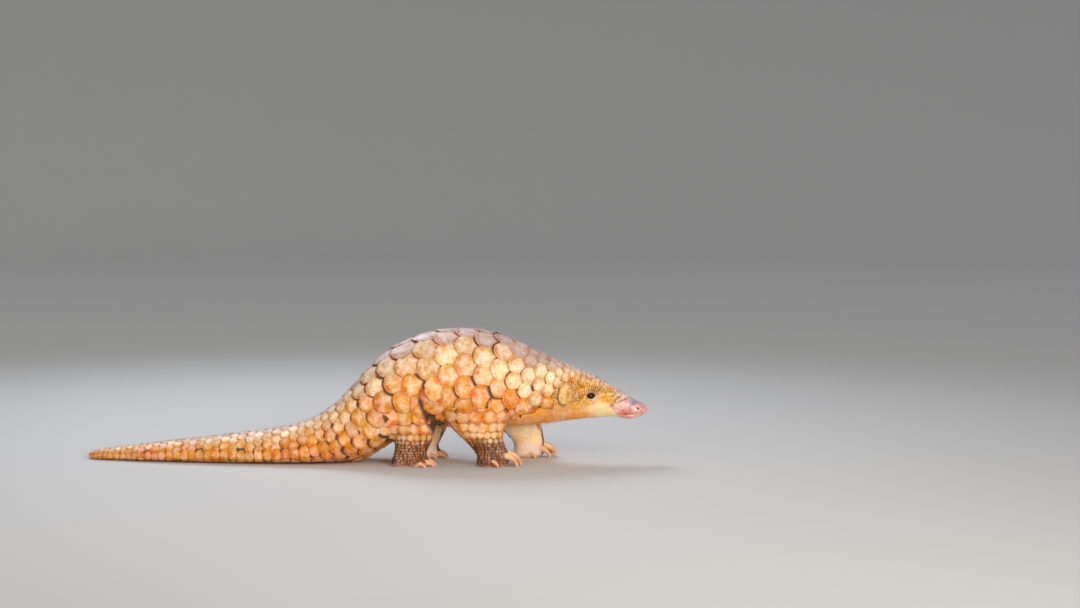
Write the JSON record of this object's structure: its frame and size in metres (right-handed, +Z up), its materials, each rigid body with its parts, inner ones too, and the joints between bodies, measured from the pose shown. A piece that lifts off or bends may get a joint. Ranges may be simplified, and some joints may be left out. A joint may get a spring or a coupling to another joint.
{
  "type": "pangolin",
  "caption": "Life-size Sunda pangolin standing with an arched back, its neck stretched ahead and its long scaled tail laid on the floor.",
  "frame": {"origin": "centre of the bounding box on the floor that the feet and the tail rest on", "axes": "+X ahead, from tail to nose; +Y to the animal's left; +Z up"},
  "size_m": [0.9654, 0.1708, 0.2314],
  "materials": {
    "scaled_skin": "overlapping horn scales, straw to orange, grey along the back",
    "bare_skin": "bare cream skin with sparse hair",
    "bare_nose": "moist pink skin with dark speckles",
    "eye": "dark glossy eye",
    "claw": "worn horn, cream to orange"
  },
  "bodies": {
    "root": {"snout": "bare_nose", "lower_jaw": "bare_nose", "head": "scaled_skin", "neck": "scaled_skin", "chest": "scaled_skin", "back": "scaled_skin", "rump": "scaled_skin", "tail_base": "scaled_skin", "tail_middle": "scaled_skin", "tail_end": "scaled_skin", "ear_right": "bare_skin", "ear_left": "bare_skin", "eye_right": "eye", "eye_left": "eye", "foreleg_right_upper": "scaled_skin", "foreleg_right_lower": "scaled_skin", "forefoot_right": "bare_skin", "foreleg_left_upper": "scaled_skin", "foreleg_left_lower": "scaled_skin", "forefoot_left": "bare_skin", "hindleg_right_upper": "scaled_skin", "hindleg_right_lower": "scaled_skin", "hindfoot_right": "bare_skin", "hindleg_left_upper": "scaled_skin", "hindleg_left_lower": "scaled_skin", "hindfoot_left": "bare_skin", "claw_forefoot_right_1": "claw", "claw_forefoot_right_2": "claw", "claw_forefoot_right_3": "claw", "claw_forefoot_right_4": "claw", "claw_forefoot_right_5": "claw", "claw_forefoot_left_1": "claw", "claw_forefoot_left_2": "claw", "claw_forefoot_left_3": "claw", "claw_forefoot_left_4": "claw", "claw_forefoot_left_5": "claw", "claw_hindfoot_right_1": "claw", "claw_hindfoot_right_2": "claw", "claw_hindfoot_right_3": "claw", "claw_hindfoot_right_4": "claw", "claw_hindfoot_right_5": "claw", "claw_hindfoot_left_1": "claw", "claw_hindfoot_left_2": "claw", "claw_hindfoot_left_3": "claw", "claw_hindfoot_left_4": "claw", "claw_hindfoot_left_5": "claw"}
  },
  "joints": []
}
